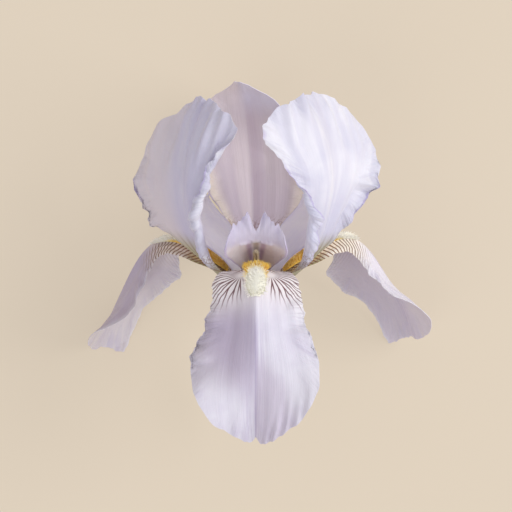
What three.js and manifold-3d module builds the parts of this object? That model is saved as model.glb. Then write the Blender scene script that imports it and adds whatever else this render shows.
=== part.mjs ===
// Bearded iris: one open flower, as picked, lying on its back on a table.
// Millimetres. The table is the plane z = 0 and the flower faces up, along +Z.
// Its own axis runs from the cut stalk through the throat, close to +Y.
// Each tepal is a blade swept along its midrib, and grows from the rim of the perianth tube.

import * as THREE from 'three';
import { mergeVertices } from 'three/addons/utils/BufferGeometryUtils.js';
import Module from 'manifold-3d';

const wasm = await Module();
wasm.setup();

// Driving dimensions

const AXIS_RISE = 15;               // degrees from +Y toward +Z of the flower's own axis
const THROAT = [-1.26, -14.23, 42.5]; // top of the perianth tube, over the middle of the whole flower
const GAP = 0.3;                    // clearance between pieces that meet
const BLADE = { root: 0.9, margin: 0.65 };
const CLAW_FOOT = 0.6;              // height of the claws' feet over the throat
const FALL_FOOT = 5.6;              // distance of a fall's foot from the axis
const STANDARD_FOOT = 5.4;
const STYLE_FOOT = 1.8;
const TEPAL_ROWS = 20;
const TEPAL_COLUMNS = 8;            // on each side of the midrib
const MARGIN_CROWDING = 0.15;       // how much closer together the columns stand at the margin
const TIP_CURVE = 0.95;             // how round a blade's end is at its margin
const TIP_REACH = 0.7;              // how fast the rows straighten away from the end
const SMALL_ROWS = 12;
const SMALL_COLUMNS = 5;
const SECTION_STEPS = 24;           // steps in which a section's curve is summed
const BEARD_SPAN = [0.11, 0.465];   // shares of the fall's midrib
const BEARD_CORE = { half: 1.3, height: 1.2, steep: 6 };
const BEARD_HAIR = { count: 40, length: 3.2, radius: 0.5, lean: 1.1, forward: 0.35, spread: 0.6 };
const BEARD_LIFT = 0.1;             // of the beard over the clearance
const GOLDEN_ANGLE = Math.PI * (3 - Math.sqrt(5));
const COLUMN_RADIUS = 1.05;         // the style column in the middle of the throat

// Curves and axes

// Natural cubic spline through [position, value] knots.
function smooth(knots) {
  const n = knots.length;
  if (n === 1) return () => knots[0][1];
  const x = knots.map((k) => k[0]);
  const y = knots.map((k) => k[1]);
  const bend = new Array(n).fill(0);
  const ratio = new Array(n).fill(0);
  for (let i = 1; i < n - 1; i++) {
    const before = x[i] - x[i - 1];
    const after = x[i + 1] - x[i];
    const pivot = 2 * (before + after) - before * ratio[i - 1];
    const turn = 6 * ((y[i + 1] - y[i]) / after - (y[i] - y[i - 1]) / before);
    ratio[i] = after / pivot;
    bend[i] = (turn - before * bend[i - 1]) / pivot;
  }
  for (let i = n - 2; i > 0; i--) bend[i] -= ratio[i] * bend[i + 1];
  return (t) => {
    const at = Math.min(Math.max(t, x[0]), x[n - 1]);
    let i = 0;
    while (i < n - 2 && at >= x[i + 1]) i++;
    const step = x[i + 1] - x[i];
    const p = (x[i + 1] - at) / step;
    const r = 1 - p;
    const cubic = ((p ** 3 - p) * bend[i] + (r ** 3 - r) * bend[i + 1]) * step * step / 6;
    return p * y[i] + r * y[i + 1] + cubic;
  };
}

// Cubic through [position, value] knots that never swings past them.
function gentle(knots) {
  const n = knots.length;
  if (n === 1) return () => knots[0][1];
  const x = knots.map((k) => k[0]);
  const y = knots.map((k) => k[1]);
  const grade = (i) => (y[i + 1] - y[i]) / (x[i + 1] - x[i]);
  const slope = knots.map((_, i) => {
    if (i === 0) return grade(0);
    if (i === n - 1) return grade(n - 2);
    const before = grade(i - 1);
    const after = grade(i);
    return before * after > 0 ? 2 * before * after / (before + after) : 0;
  });
  return (t) => {
    const at = Math.min(Math.max(t, x[0]), x[n - 1]);
    let i = 0;
    while (i < n - 2 && at >= x[i + 1]) i++;
    const step = x[i + 1] - x[i];
    const r = (at - x[i]) / step;
    const share = r * r * (3 - 2 * r);
    const start = r * (1 - r) * (1 - r) * step * slope[i];
    const end = r * r * (r - 1) * step * slope[i + 1];
    return y[i] + (y[i + 1] - y[i]) * share + start + end;
  };
}

// Smooth step from 0 to 1.
function ease(x) {
  const c = Math.min(Math.max(x, 0), 1);
  return c * c * (3 - 2 * c);
}

const rise = THREE.MathUtils.degToRad(AXIS_RISE);
const UP = new THREE.Vector3(0, Math.cos(rise), Math.sin(rise));
const FRONT = new THREE.Vector3(0, -Math.sin(rise), Math.cos(rise));
const RIGHT = new THREE.Vector3(1, 0, 0);

// The directions out from the axis and sideways at an azimuth, counted from the front.
function directions(azimuth) {
  const a = THREE.MathUtils.degToRad(azimuth);
  const out = FRONT.clone().multiplyScalar(Math.cos(a)).addScaledVector(RIGHT, Math.sin(a));
  const side = FRONT.clone().multiplyScalar(-Math.sin(a)).addScaledVector(RIGHT, Math.cos(a));
  return { out, side };
}

function place(azimuth, out, up, side = 0) {
  const d = directions(azimuth);
  const point = new THREE.Vector3(...THROAT).addScaledVector(d.out, out);
  return point.addScaledVector(UP, up).addScaledVector(d.side, side);
}

// Midribs

// The midrib runs through [out, up, side] points. It gives a frame at each share u of its length.
function midrib(azimuth, points) {
  const local = points.map(([out, up, side = 0]) => new THREE.Vector3(out, up, side));
  const along = [0];
  for (let i = 1; i < local.length; i++) along.push(along[i - 1] + local[i].distanceTo(local[i - 1]));
  const length = along[along.length - 1];
  const tracks = [0, 1, 2].map((k) => smooth(local.map((p, i) => [along[i] / length, p.getComponent(k)])));
  const at = (u) => new THREE.Vector3(...tracks.map((track) => track(u)));
  const d = directions(azimuth);
  const toWorld = (v) => new THREE.Vector3()
    .addScaledVector(d.out, v.x).addScaledVector(UP, v.y).addScaledVector(d.side, v.z);
  const frame = (u) => {
    const point = at(u);
    const tangent = at(Math.min(u + 0.001, 1)).sub(at(Math.max(u - 0.001, 0))).normalize();
    const across = new THREE.Vector3(0, 0, 1).addScaledVector(tangent, -tangent.z).normalize();
    const inward = tangent.clone().cross(across).negate();
    return {
      point: toWorld(point).add(new THREE.Vector3(...THROAT)),
      tangent: toWorld(tangent),
      across: toWorld(across),
      inward: toWorld(inward),
    };
  };
  return { length, frame };
}

// Blades

// Waves that grow toward the margin, counted round a point on the midrib.
function waves({ height, count, phase = 0, centre = 0.6, start = 0.28 }) {
  return (u, s, width, length) => {
    const angle = Math.atan2(s * width, (u - centre) * length);
    const edge = Math.max(ease((Math.abs(s) - 0.45) / 0.55), ease((u - 0.72) / 0.28));
    return edge * ease((u - start) / 0.2) * height * Math.sin(count * angle + phase);
  };
}

// How much of the length is missing at a place across a blade with a round end.
function roundLoss(s, round) {
  return round * (1 - Math.sqrt(1 - TIP_CURVE * s * s)) / (1 - Math.sqrt(1 - TIP_CURVE));
}

// A blade's middle surface at share u of its midrib and q across it, from -1 to 1.
// Each half has its own width, and its section turns by these angles toward the inner face:
// roof at the midrib, cup more and more toward the margin, roll in the outer part only.
function bladeSurface(spec) {
  const rib = midrib(spec.azimuth, spec.midrib);
  const halves = [spec.cw, spec.ccw].map((half) => {
    const profile = (name, rest) => gentle(half[name] ?? spec[name] ?? [[0, rest]]);
    return {
      width: profile('width', 1),
      roof: profile('roof', 0),
      cup: profile('cup', 0),
      roll: profile('roll', 0),
      rollFrom: profile('rollFrom', 0.5),
      sweep: profile('sweep', 0),
      round: half.round ?? 0.3,
    };
  });
  const tipLoss = spec.tipLoss ?? roundLoss;
  return (t, q) => {
    const half = halves[q < 0 ? 0 : 1];
    const sign = q < 0 ? -1 : 1;
    const s = Math.abs(q);
    const u = t * (1 - tipLoss(s, half.round) * t ** TIP_REACH);
    const f = rib.frame(u);
    const width = half.width(u);
    const from = half.rollFrom(u);
    const angle = (x) => THREE.MathUtils.degToRad(
      half.roof(u) + half.cup(u) * x + half.roll(u) * ease((x - from) / (1 - from)));
    let across = 0;
    let inward = 0;
    for (let k = 0; k < SECTION_STEPS; k++) {
      const a = angle((k + 0.5) / SECTION_STEPS * s);
      across += Math.cos(a) * s / SECTION_STEPS * width;
      inward += Math.sin(a) * s / SECTION_STEPS * width;
    }
    const wave = spec.wave ? spec.wave(u, sign * s, width, rib.length) : 0;
    const edge = angle(s);
    return f.point
      .addScaledVector(f.across, sign * (across - Math.sin(edge) * wave))
      .addScaledVector(f.inward, inward + Math.cos(edge) * wave)
      .addScaledVector(f.tangent, half.sweep(u) * s * s);
  };
}

// A closed solid between two faces, each a grid of points with the same rows and columns.
function slab(upper, lower) {
  const rows = upper.length;
  const columns = upper[0].length;
  const positions = [...upper.flat(), ...lower.flat()].flatMap((p) => [p.x, p.y, p.z]);
  const top = (i, j) => i * columns + j;
  const under = (i, j) => rows * columns + top(i, j);
  const index = [];
  const quad = (a, b, c, d) => index.push(a, b, c, a, c, d);
  for (let i = 0; i < rows - 1; i++) {
    for (let j = 0; j < columns - 1; j++) {
      quad(top(i, j), top(i + 1, j), top(i + 1, j + 1), top(i, j + 1));
      index.push(under(i, j), under(i + 1, j + 1), under(i + 1, j));
      index.push(under(i, j), under(i, j + 1), under(i + 1, j + 1));
    }
  }
  for (let j = 0; j < columns - 1; j++) {
    quad(top(0, j), top(0, j + 1), under(0, j + 1), under(0, j));
    quad(top(rows - 1, j + 1), top(rows - 1, j), under(rows - 1, j), under(rows - 1, j + 1));
  }
  for (let i = 0; i < rows - 1; i++) {
    quad(top(i + 1, 0), top(i, 0), under(i, 0), under(i + 1, 0));
    quad(top(i, columns - 1), top(i + 1, columns - 1), under(i + 1, columns - 1), under(i, columns - 1));
  }
  return outward(positions, index);
}

// A geometry from points and triangles, turned so that its faces point out.
function outward(positions, index) {
  let volume = 0;
  const corner = (k) => new THREE.Vector3().fromArray(positions, index[k] * 3);
  for (let k = 0; k < index.length; k += 3) volume += corner(k).dot(corner(k + 1).cross(corner(k + 2)));
  if (volume < 0) index.reverse();
  const geometry = new THREE.BufferGeometry();
  geometry.setAttribute('position', new THREE.Float32BufferAttribute(positions, 3));
  geometry.setIndex(index);
  return geometry;
}

// The share of the length and the place across for each grid point, a little closer together at the margin.
function grid(rows, columns, at) {
  const across = (x) => (1 - MARGIN_CROWDING) * x + MARGIN_CROWDING * Math.sin(Math.PI / 2 * x);
  const cells = [];
  for (let i = 0; i <= rows; i++) {
    const row = [];
    for (let j = -columns; j <= columns; j++) row.push(at(i / rows, across(j / columns)));
    cells.push(row);
  }
  return cells;
}

// Directions on a grid, each drawn toward its neighbours', so that a thick sheet doesn't fold.
function blur(directions) {
  return directions.map((row, i) => row.map((direction, j) => {
    const sum = direction.clone().multiplyScalar(2);
    for (const [di, dj] of [[1, 0], [-1, 0], [0, 1], [0, -1]]) {
      const beside = directions[i + di]?.[j + dj];
      if (beside) sum.add(beside);
    }
    return sum.normalize();
  }));
}

// A blade as a solid. What would hang below the table is pressed up to it.
function bladeSolid(spec, rows, columns) {
  const surface = bladeSurface(spec);
  const middle = grid(rows, columns, surface);
  const taper = (t, q) => BLADE.root + (BLADE.margin - BLADE.root) * Math.max(t, q * q);
  const thickness = spec.thickness ?? taper;
  const offset = grid(rows, columns, (t, q) => thickness(t, q) / 2);
  const normals = blur(middle.map((row, i) => row.map((_, j) => {
    const ahead = middle[Math.min(i + 1, rows)][j].clone().sub(middle[Math.max(i - 1, 0)][j]);
    const beside = row[Math.min(j + 1, 2 * columns)].clone().sub(row[Math.max(j - 1, 0)]);
    return ahead.cross(beside).normalize();
  })));
  const face = (sign) => middle.map((row, i) => row.map((p, j) => (
    p.clone().addScaledVector(normals[i][j], sign * offset[i][j]))));
  const upper = face(1);
  const lower = face(-1);
  for (let i = 0; i <= rows; i++) {
    for (let j = 0; j <= 2 * columns; j++) {
      const lift = Math.max(0, -Math.min(upper[i][j].z, lower[i][j].z));
      upper[i][j].z += lift;
      lower[i][j].z += lift;
    }
  }
  return slab(upper, lower);
}

// Falls: three hanging tepals, each over an arched haft

// How much is missing at a round end with a small notch in its middle.
function notchedLoss(s, round) {
  return roundLoss(s, round) + 0.02 * Math.exp(-((s / 0.06) ** 2));
}

const fallFront = {
  azimuth: 0,
  midrib: [[FALL_FOOT, CLAW_FOOT], [11.3, 9], [19, 15.5], [28, 18.5], [37, 16], [44, 8], [48, -3.5],
    [49.5, -16], [48.5, -27], [46.5, -35.5]],
  cw: {
    width: [[0, 2.6], [0.12, 6.5], [0.22, 11.5], [0.34, 15], [0.45, 16.4], [0.58, 19.2], [0.65, 21.6],
      [0.72, 22.6], [0.8, 23.5], [0.9, 22.3], [1, 17]],
    roof: [[0, 10], [0.12, 8], [0.3, -8], [0.48, -26], [0.6, -28], [0.7, -14], [0.8, 10], [1, 18]],
    cup: [[0, 20], [0.12, 10], [0.3, -8], [0.5, 4], [0.62, 8], [0.78, -14], [1, -16]],
    round: 0.32,
  },
  ccw: {
    width: [[0, 2.6], [0.12, 6.5], [0.22, 11.5], [0.34, 15], [0.45, 16.4], [0.58, 17.8], [0.7, 21.6],
      [0.8, 23.5], [0.9, 22.3], [1, 17]],
    roof: [[0, 10], [0.12, 8], [0.3, -8], [0.48, -18], [0.62, -8], [0.74, 6], [0.84, 17], [1, 21]],
    cup: [[0, 20], [0.12, 10], [0.3, -10], [0.52, -8], [0.7, -15], [0.86, -14], [1, -10]],
    round: 0.35,
  },
  tipLoss: notchedLoss,
  wave: waves({ height: 0.7, count: 9, phase: 0.5 }),
};

const sideFallRoof = [[0, 10], [0.12, 0], [0.25, -28], [0.4, -45], [0.52, -50]];
const sideFallCup = [[0, 20], [0.12, 10], [0.3, -8], [1, -4]];
const sideFallHaft = [[FALL_FOOT, CLAW_FOOT], [12, 8.5], [20, 13.5]];
const fallLeft = {
  azimuth: -120,
  midrib: [...sideFallHaft, [28, 17], [36.8, 17.4], [45, 12.7], [51.5, 4.2], [56.5, -5],
    [61.5, -15.5], [66, -28]],
  cup: sideFallCup,
  cw: {
    width: [[0, 2.6], [0.12, 5], [0.3, 6], [0.38, 8], [0.47, 13], [0.56, 17],
      [0.68, 14.5], [0.82, 11], [1, 10]],
    roof: [...sideFallRoof, [0.65, -45], [0.8, -34], [1, -25]],
    sweep: [[0, 0], [0.7, 0], [0.9, 4], [1, 5.5]],
    round: 0.04,
  },
  ccw: {
    width: [[0, 2.6], [0.12, 5], [0.3, 6], [0.42, 6.5], [0.52, 9.5], [0.68, 16], [0.82, 21], [1, 20]],
    roof: [...sideFallRoof, [0.65, -45], [0.8, -22], [1, 0]],
    sweep: [[0, 0], [0.7, 0], [0.9, -4], [1, -6]],
    round: 0.14,
  },
  wave: waves({ height: 0.6, count: 9, phase: 1.5, start: 0.45 }),
};
const fallRight = {
  azimuth: 120,
  midrib: [...sideFallHaft, [28, 17.5], [36.8, 18.5], [45, 14], [51.5, 6], [57, -2.5], [62, -12], [66, -24]],
  cup: sideFallCup,
  cw: {
    width: [[0, 2.6], [0.12, 5], [0.3, 6], [0.42, 6.5], [0.52, 8], [0.62, 11.3],
      [0.7, 15], [0.82, 18.5], [1, 18]],
    roof: [...sideFallRoof, [0.62, -38], [0.78, -5], [1, 8]],
    sweep: [[0, 0], [0.7, 0], [0.9, -2.5], [1, -4]],
    round: 0.15,
  },
  ccw: {
    width: [[0, 2.6], [0.12, 5], [0.3, 6], [0.38, 7], [0.47, 12.5], [0.56, 19],
      [0.68, 18], [0.82, 12], [1, 9]],
    roof: [...sideFallRoof, [0.65, -46], [0.8, -40], [1, -35]],
    sweep: [[0, 0], [0.7, 0], [0.9, 4], [1, 5]],
    round: 0.03,
  },
  wave: waves({ height: 0.6, count: 9, phase: 0.8, start: 0.45 }),
};

// Standards: three upright tepals. The two beside the front fall roll their near margin outward

const farCup = [[0, 25], [0.3, 0], [0.6, -25], [1, -10]];
const standardLeft = {
  azimuth: -60,
  midrib: [[STANDARD_FOOT, CLAW_FOOT], [11.5, 8], [21, 18.5], [26.5, 30], [28.8, 42], [28, 52], [25.5, 61],
    [22.5, 68.5], [19.5, 73.5]],
  cw: {
    width: [[0, 2], [0.15, 3.5], [0.25, 6], [0.35, 16.5], [0.42, 22.5], [0.55, 24],
      [0.7, 26.5], [0.85, 27], [1, 21]],
    cup: farCup,
    sweep: [[0, 0], [0.3, 0], [0.5, -4], [1, -7]],
    round: 0.4,
  },
  ccw: {
    width: [[0, 2], [0.15, 4], [0.27, 8], [0.36, 12], [0.5, 14], [0.62, 14], [0.72, 15],
      [0.82, 17.5], [0.92, 20], [1, 19]],
    cup: [[0, 25], [0.3, 30], [0.6, 60], [1, 50]],
    roll: [[0, 0], [0.2, -40], [0.35, -210], [0.5, -215], [0.62, -200], [0.75, -140], [0.85, -30], [1, 0]],
    rollFrom: [[0, 0.4], [0.5, 0.42], [0.65, 0.7], [0.8, 0.75], [1, 0.75]],
    sweep: [[0, 0], [0.5, 0], [0.8, 3], [1, 3]],
    round: 0.16,
  },
  wave: waves({ height: 0.8, count: 10, phase: 0.3 }),
};
const standardRight = {
  azimuth: 60,
  midrib: [[STANDARD_FOOT, CLAW_FOOT], [11.5, 7.5], [19.5, 15.5], [26, 27], [29, 38.5], [29.8, 48],
    [28.3, 58], [25, 68.5], [21, 75.5]],
  cw: {
    width: [[0, 2], [0.15, 4], [0.27, 8], [0.36, 14], [0.5, 17.5], [0.62, 17.5], [0.7, 19.3],
      [0.76, 22.5], [0.8, 24.8], [0.85, 26.3], [0.92, 27], [1, 26]],
    cup: [[0, 25], [0.3, 30], [0.6, 55], [1, 40]],
    roll: [[0, 0], [0.2, -40], [0.35, -205], [0.5, -210], [0.6, -150], [0.7, -30], [0.8, 0], [1, 0]],
    rollFrom: [[0, 0.42], [0.5, 0.45], [0.62, 0.7], [0.8, 0.75], [1, 0.75]],
    sweep: [[0, 0], [0.5, 0], [0.8, 3], [1, 6]],
    round: 0.14,
  },
  ccw: {
    width: [[0, 2], [0.15, 3.5], [0.27, 5], [0.34, 11.5], [0.42, 13], [0.5, 15], [0.56, 19],
      [0.62, 23.3], [0.72, 26.5], [0.86, 26], [1, 20]],
    cup: farCup,
    sweep: [[0, 0], [0.3, 0], [0.5, -4], [1, -4]],
    round: 0.34,
  },
  wave: waves({ height: 0.8, count: 10, phase: 2 }),
};

// How much is missing at a round end with a small point in its middle.
function pointedLoss(s, round) {
  return roundLoss(s, round) + 0.06 * ease((s - 0.05) / 0.3);
}

const standardBack = {
  azimuth: 180,
  midrib: [[STANDARD_FOOT, CLAW_FOOT, 0], [14, 6, 0], [30, 13, 0.5], [46, 25, 1], [55, 40, 2], [52, 54, 3.5],
    [40, 65.5, 5], [26, 73.5, 6.5]],
  cup: [[0, 25], [0.3, 35], [0.6, 40], [1, 25]],
  cw: {
    width: [[0, 2], [0.18, 3.5], [0.27, 10], [0.36, 20], [0.5, 23], [0.7, 23.5], [0.88, 19], [1, 11]],
    sweep: [[0, 0], [0.6, 0], [0.9, -8], [1, -9]],
    round: 0.38,
  },
  ccw: {
    width: [[0, 2], [0.18, 3.5], [0.27, 7.5], [0.36, 13], [0.42, 16.5], [0.48, 19.5], [0.56, 21.5],
      [0.7, 23], [0.88, 20.5], [1, 11]],
    round: 0.38,
  },
  tipLoss: pointedLoss,
  wave: waves({ height: 0.8, count: 9, phase: 1 }),
};

// Style arms: petal-like, arched over each haft, and split into two upright crests

const styleMidrib = [[STYLE_FOOT, 2], [5, 10], [10.5, 18], [17, 24], [22, 27.5], [24, 32], [23.5, 38.5]];

// How much of the length is missing at a place across: the split between the crests and their outer slopes.
const crestLoss = gentle([[0, 0.17], [0.1, 0.12], [0.2, 0.03], [0.27, 0], [0.4, 0.035],
  [0.75, 0.1], [1, 0.2]]);

function styleArm(azimuth, roof, cwCup, ccwCup) {
  const half = (cup) => ({
    width: [[0, 1.6], [0.2, 4], [0.36, 6], [0.5, 9], [0.72, 11.5], [0.85, 11], [1, 12]],
    cup: [[0, -30], [0.5, cup], [0.75, cup], [1, 10]],
  });
  return {
    azimuth,
    midrib: styleMidrib,
    roof: [[0, -20], [0.4, roof - 4], [0.7, roof], [1, 0]],
    cw: half(cwCup),
    ccw: half(ccwCup),
    tipLoss: crestLoss,
  };
}

// Stamens: a flat filament and a longer anther, pressed up under each style arm

function stamen(azimuth) {
  const half = { width: [[0, 0.6], [0.45, 0.6], [0.52, 1.1], [0.92, 1.1], [1, 0.5]], round: 0 };
  return {
    azimuth,
    midrib: [[3.9, CLAW_FOOT], [6.2, 8], [11, 15], [15.2, 19.4], [19.3, 23]],
    cw: half,
    ccw: half,
    thickness: (t) => 0.8 + 0.6 * ease((t - 0.45) / 0.1),
  };
}

// Beards: a slim core along the fall's midrib with hairs fused to it

function toSolid(geometry) {
  const bare = geometry.clone();
  bare.deleteAttribute('normal');
  bare.deleteAttribute('uv');
  const merged = mergeVertices(bare);
  return new wasm.Manifold(new wasm.Mesh({
    numProp: 3,
    vertProperties: Float32Array.from(merged.attributes.position.array),
    triVerts: Uint32Array.from(merged.index.array),
  }));
}

function toGeometry(solid) {
  const mesh = solid.getMesh();
  return outward(Array.from(mesh.vertProperties), Array.from(mesh.triVerts));
}

function beardShare(t) {
  return BEARD_SPAN[0] + (BEARD_SPAN[1] - BEARD_SPAN[0]) * t;
}

// The core: flat below, rounded above and lower at both ends.
function beardCore(rib, foot) {
  const level = (crowned) => grid(SMALL_ROWS, 2, (t, q) => {
    const f = rib.frame(beardShare(t));
    const ends = Math.min(1, BEARD_CORE.steep * t + 0.3, BEARD_CORE.steep * (1 - t) + 0.3);
    const crown = crowned ? 0.5 + 0.5 * ends * Math.sqrt(Math.max(0, 1 - q * q)) : 0;
    return f.point.addScaledVector(f.across, q * BEARD_CORE.half * ends)
      .addScaledVector(f.inward, foot + BEARD_CORE.height * crown);
  });
  return toSolid(slab(level(true), level(false)));
}

// Hair k: a slim cone that leans to a side. The first hairs are short.
function beardHair(rib, foot, k) {
  const t = 0.05 + 0.9 * (k + 0.5) / BEARD_HAIR.count;
  const f = rib.frame(beardShare(t));
  const lean = BEARD_HAIR.lean * Math.sin(k * GOLDEN_ANGLE);
  const forward = BEARD_HAIR.forward * Math.cos(k * GOLDEN_ANGLE * 2);
  const direction = f.inward.clone().multiplyScalar(Math.cos(lean))
    .addScaledVector(f.across, Math.sin(lean)).addScaledVector(f.tangent, forward).normalize();
  const root = f.point.clone().addScaledVector(f.inward, foot + BEARD_CORE.height * 0.5)
    .addScaledVector(f.across, BEARD_HAIR.spread * Math.sin(lean));
  const length = BEARD_HAIR.length * (0.5 + 0.5 * ease(t / 0.4));
  const hair = new THREE.ConeGeometry(BEARD_HAIR.radius, length, 3);
  hair.translate(0, length / 2, 0);
  hair.applyQuaternion(new THREE.Quaternion().setFromUnitVectors(new THREE.Vector3(0, 1, 0), direction));
  hair.translate(root.x, root.y, root.z);
  return toSolid(hair);
}

function beard(fall) {
  const rib = midrib(fall.azimuth, fall.midrib);
  const foot = BLADE.root / 2 + GAP + BEARD_LIFT;
  let solid = beardCore(rib, foot);
  for (let k = 0; k < BEARD_HAIR.count; k++) solid = solid.add(beardHair(rib, foot, k));
  return toGeometry(solid);
}

// Ovary, perianth tube and style column: one body turned about the flower's axis

const STALK_PROFILE = [
  // radius, and height over the throat
  [0, 3.2], [0.85, 3], [COLUMN_RADIUS, 2.4], [COLUMN_RADIUS, 0.7], [1.6, 0.2], [5.9, 0.2],
  [6.3, -0.4], [5, -3], [3.3, -8], [2.7, -14], [3, -19], [4.6, -24], [5.5, -31],
  [4.9, -37], [3.1, -42], [2.5, -45], [2.4, -50], [0, -50],
];
const STALK_SIDES = 18;
const OVARY = { lobes: 3, depth: 0.12, height: -31, reach: 14 };

function stalk() {
  const profile = STALK_PROFILE.map(([radius, height]) => new THREE.Vector2(radius, height)).reverse();
  const geometry = new THREE.LatheGeometry(profile, STALK_SIDES);
  const positions = geometry.attributes.position;
  for (let i = 0; i < positions.count; i++) {
    const x = positions.getX(i);
    const height = positions.getY(i);
    const z = positions.getZ(i);
    const depth = OVARY.depth * ease(1 - Math.abs(height - OVARY.height) / OVARY.reach);
    const swell = 1 + depth * Math.cos(OVARY.lobes * Math.atan2(x, z));
    const point = place(0, z * swell, height, x * swell);
    positions.setXYZ(i, point.x, point.y, point.z);
  }
  geometry.deleteAttribute('normal');
  geometry.deleteAttribute('uv');
  const merged = mergeVertices(geometry, 1e-3);
  return outward(Array.from(merged.attributes.position.array), Array.from(merged.index.array));
}

// Materials

const petal = (color) => new THREE.MeshStandardMaterial({ color, roughness: 0.55, metalness: 0 });
const materials = {
  fall: petal(0xc9c2dc),
  standard: petal(0xd3cfe6),
  style: petal(0xcfc4de),
  beard: petal(0xe9cf84),
  stamen: petal(0xc9bd7c),
  stalk: petal(0x8fa05a),
};

// The flower

const flower = new THREE.Group();

function addPiece(name, geometry, material) {
  const mesh = new THREE.Mesh(geometry, material);
  mesh.name = name;
  flower.add(mesh);
}

addPiece('ovary_and_tube', stalk(), materials.stalk);
const falls = { front: fallFront, left: fallLeft, right: fallRight };
for (const [where, fall] of Object.entries(falls)) {
  addPiece(`fall_${where}`, bladeSolid(fall, TEPAL_ROWS, TEPAL_COLUMNS), materials.fall);
  addPiece(`beard_${where}`, beard(fall), materials.beard);
}
const standards = { left: standardLeft, right: standardRight, back: standardBack };
for (const [where, standard] of Object.entries(standards)) {
  addPiece(`standard_${where}`, bladeSolid(standard, TEPAL_ROWS, TEPAL_COLUMNS), materials.standard);
}
const styleArms = {
  front: styleArm(0, -8, -30, -30),
  left: styleArm(-120, 0, -5, -25),
  right: styleArm(120, 0, -25, -5),
};
for (const [where, arm] of Object.entries(styleArms)) {
  addPiece(`style_arm_${where}`, bladeSolid(arm, SMALL_ROWS, SMALL_COLUMNS), materials.style);
  addPiece(`stamen_${where}`, bladeSolid(stamen(arm.azimuth), SMALL_ROWS, 1), materials.stamen);
}

export default flower;
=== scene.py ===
# Looks of one bearded iris flower that lies on a table and is seen from above.
# Sizes here are millimetres, in the frame of the CAD model, until a mesh is made in metres.
import math
import bpy
import numpy as np
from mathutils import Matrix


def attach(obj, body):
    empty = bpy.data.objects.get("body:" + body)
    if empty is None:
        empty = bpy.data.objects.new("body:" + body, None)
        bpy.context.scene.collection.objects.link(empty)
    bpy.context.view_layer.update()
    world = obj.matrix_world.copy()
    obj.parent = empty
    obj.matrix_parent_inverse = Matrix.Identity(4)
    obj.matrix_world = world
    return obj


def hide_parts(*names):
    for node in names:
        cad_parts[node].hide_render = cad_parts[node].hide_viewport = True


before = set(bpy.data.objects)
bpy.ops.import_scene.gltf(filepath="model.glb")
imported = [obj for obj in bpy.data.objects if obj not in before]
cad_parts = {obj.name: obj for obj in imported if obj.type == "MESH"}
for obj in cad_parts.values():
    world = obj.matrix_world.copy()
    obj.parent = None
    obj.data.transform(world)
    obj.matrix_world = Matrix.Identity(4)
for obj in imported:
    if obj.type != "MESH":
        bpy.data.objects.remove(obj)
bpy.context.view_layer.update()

MM = 0.001

# Driving dimensions

AXIS_RISE = 15  # degrees from +Y toward +Z of the flower's own axis
THROAT = np.array([-1.26, -14.23, 42.5])  # top of the perianth tube
CLAW_FOOT = 0.6  # height of the claws' feet over the throat
CLAW_END = 0.2  # share of a tepal's midrib as far as which its margin is even
FALL_FOOT = 5.6  # distance of a fall's foot from the axis
STANDARD_FOOT = 5.4
STYLE_FOOT = 1.8
STAMEN_FOOT = 3.9
BLADE_ROOT = 0.85  # thickness of a tepal at its foot
BLADE_MARGIN = 0.2  # and at its margin
FALL_FOLD = 0.3  # height of a tepal's soft folds
STANDARD_FOLD = {"left": 0.5, "right": 0.5, "back": 0.25}
BEARD_SPAN = (0.11, 0.465)  # shares of the fall's midrib
BEARD_HALF = {"front": 3.9, "left": 2.0, "right": 2.0}
BEARD_FOOT = 0.72  # of the beard over the middle of the fall's blade
BEARD_CROWN = 0.55  # of the strip that the hairs stand on
BEARD_LAG = 0.22  # how much further out the colours change at its sides
BEARD_HAIRS = 1500
HAIR_LENGTH = 2.4
HAIR_RADIUS = (0.1, 0.15)  # least and most, at its root
HAIR_BEND = 0.28  # of its length

# Fineness of the meshes

RIM_ANGLE = 55  # degrees over which an edge is drawn sharp
TIP_CURVE = 0.95  # how round a blade's end is at its margin
TIP_REACH = 0.7  # how fast the rows straighten away from the end
MARGIN_CROWDING = 0.15  # how much closer together the columns stand at the margin
SECTION_STEPS = 24  # steps in which a section's curve is summed
TEPAL_GRID = (130, 48)  # rows, and columns on each side of the midrib
STYLE_GRID = (90, 30)
STAMEN_GRID = (80, 8)
BEARD_GRID = (70, 13)  # rows and columns
HAIR_SIDES = 3
HAIR_JOINTS = 4
FLAT_SPAN = 100  # millimetres on a flattened blade to 1 in its UV map
FOLD_COUNTS = (1.2, 2.1, 3.4)  # folds from the midrib to a margin, added up
FALL_SEED = 10  # of the random draws
BEARD_SEED = 20
STANDARD_SEED = 30

# The camera

CAMERA_HEIGHT = 700  # over the throat
CAMERA_SHIFT = 15.4  # the picture's middle lies this far past the throat
PICTURE_WIDTH = 179.2  # at the throat's level

# Curves and axes


def ease(x):
    """Smooth step from 0 to 1."""
    x = np.clip(x, 0, 1)
    return x * x * (3 - 2 * x)


def interval(x, t):
    """The place t, kept within x, and the interval that it lies in."""
    t = np.clip(np.asarray(t, float), x[0], x[-1])
    return t, np.clip(np.searchsorted(x, t, side="right") - 1, 0, len(x) - 2)


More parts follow.
